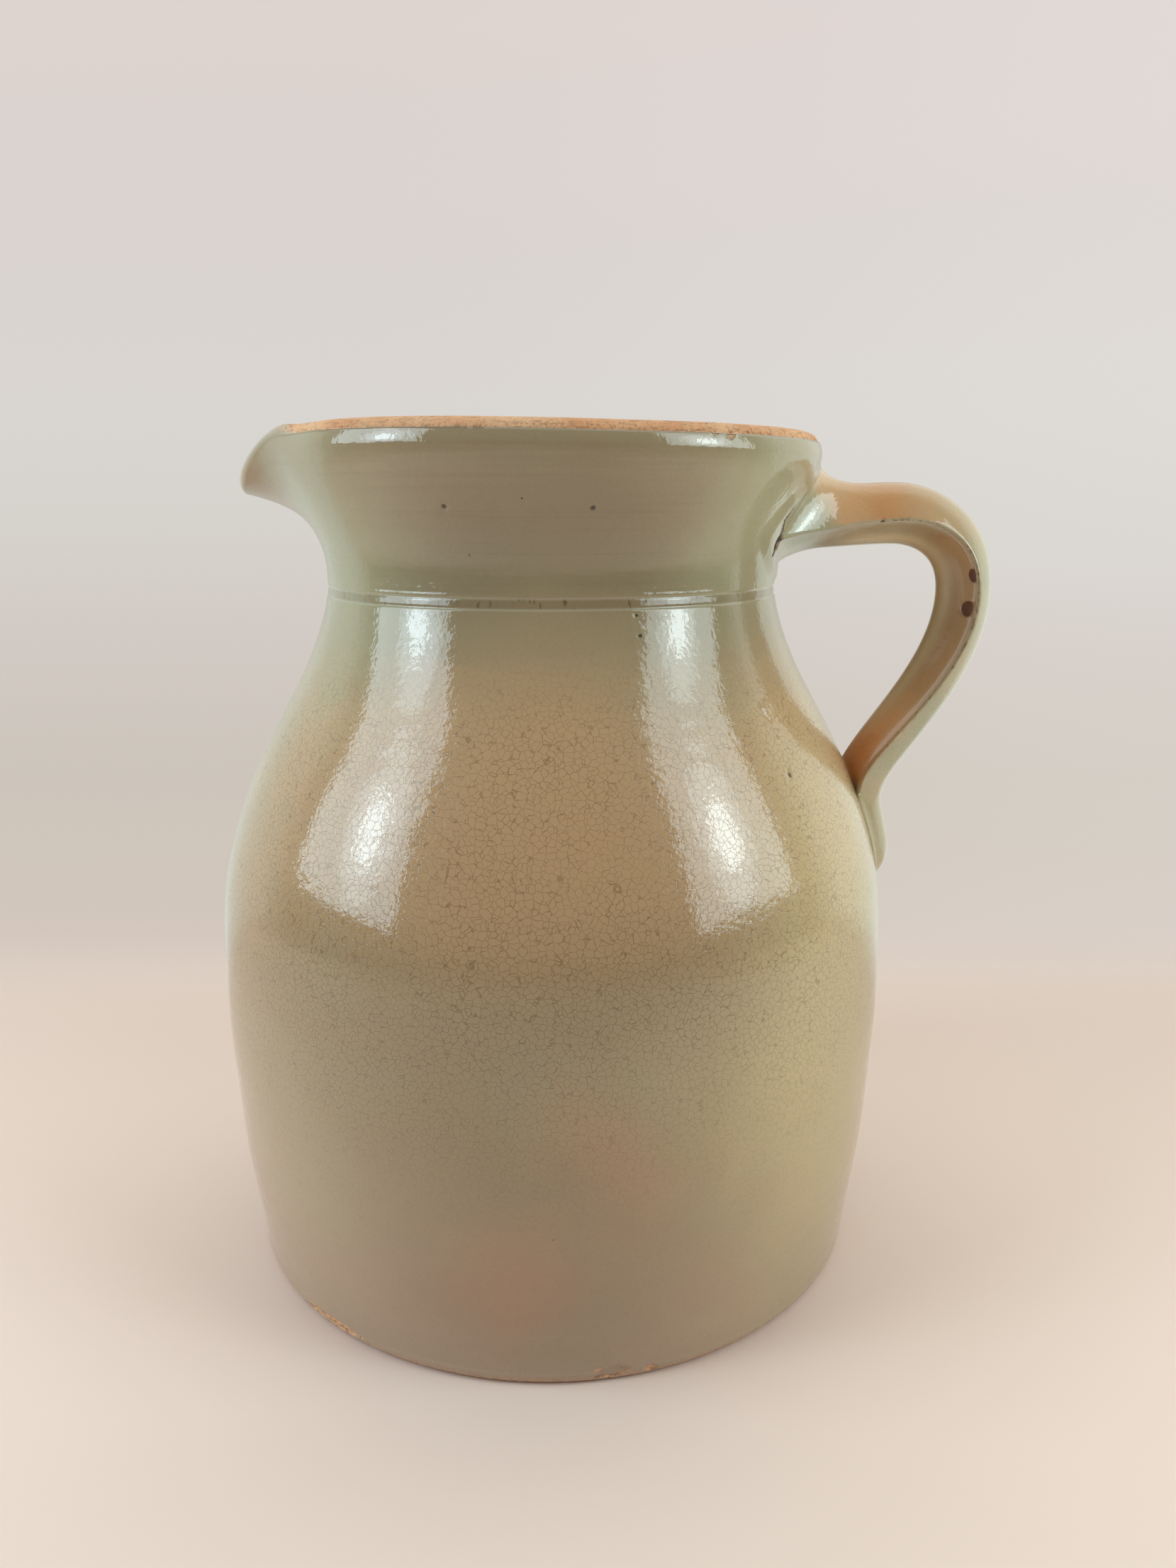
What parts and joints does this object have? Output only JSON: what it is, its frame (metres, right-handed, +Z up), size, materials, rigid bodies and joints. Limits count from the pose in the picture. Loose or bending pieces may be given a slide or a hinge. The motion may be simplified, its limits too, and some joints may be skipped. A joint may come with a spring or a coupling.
{
  "type": "milk jug",
  "caption": "Thrown earthenware milk jug with a full belly, flared neck, bare half-round rim, pulled pouring lip and luted strap handle, under a grey-green glaze.",
  "frame": {"origin": "on the pot's axis, at the flat foot that it stands on", "axes": "+Z up along the pot's axis, +X towards the handle, -X towards the pouring lip"},
  "size_m": [0.238, 0.2072, 0.2515],
  "materials": {
    "clay": "bare fired clay",
    "handle_clay": "bare fired clay",
    "luting_clay": "bare fired clay",
    "outer_glaze": "gloss, crazed",
    "inner_glaze": "gloss, crazed",
    "handle_glaze": "gloss, thin over the clay"
  },
  "bodies": {
    "root": {"clay_body": "clay", "strap_handle": "handle_clay", "upper_lute": "luting_clay", "lower_lute": "luting_clay", "outer_glaze": "outer_glaze", "inner_glaze": "inner_glaze", "handle_glaze": "handle_glaze"}
  },
  "joints": []
}
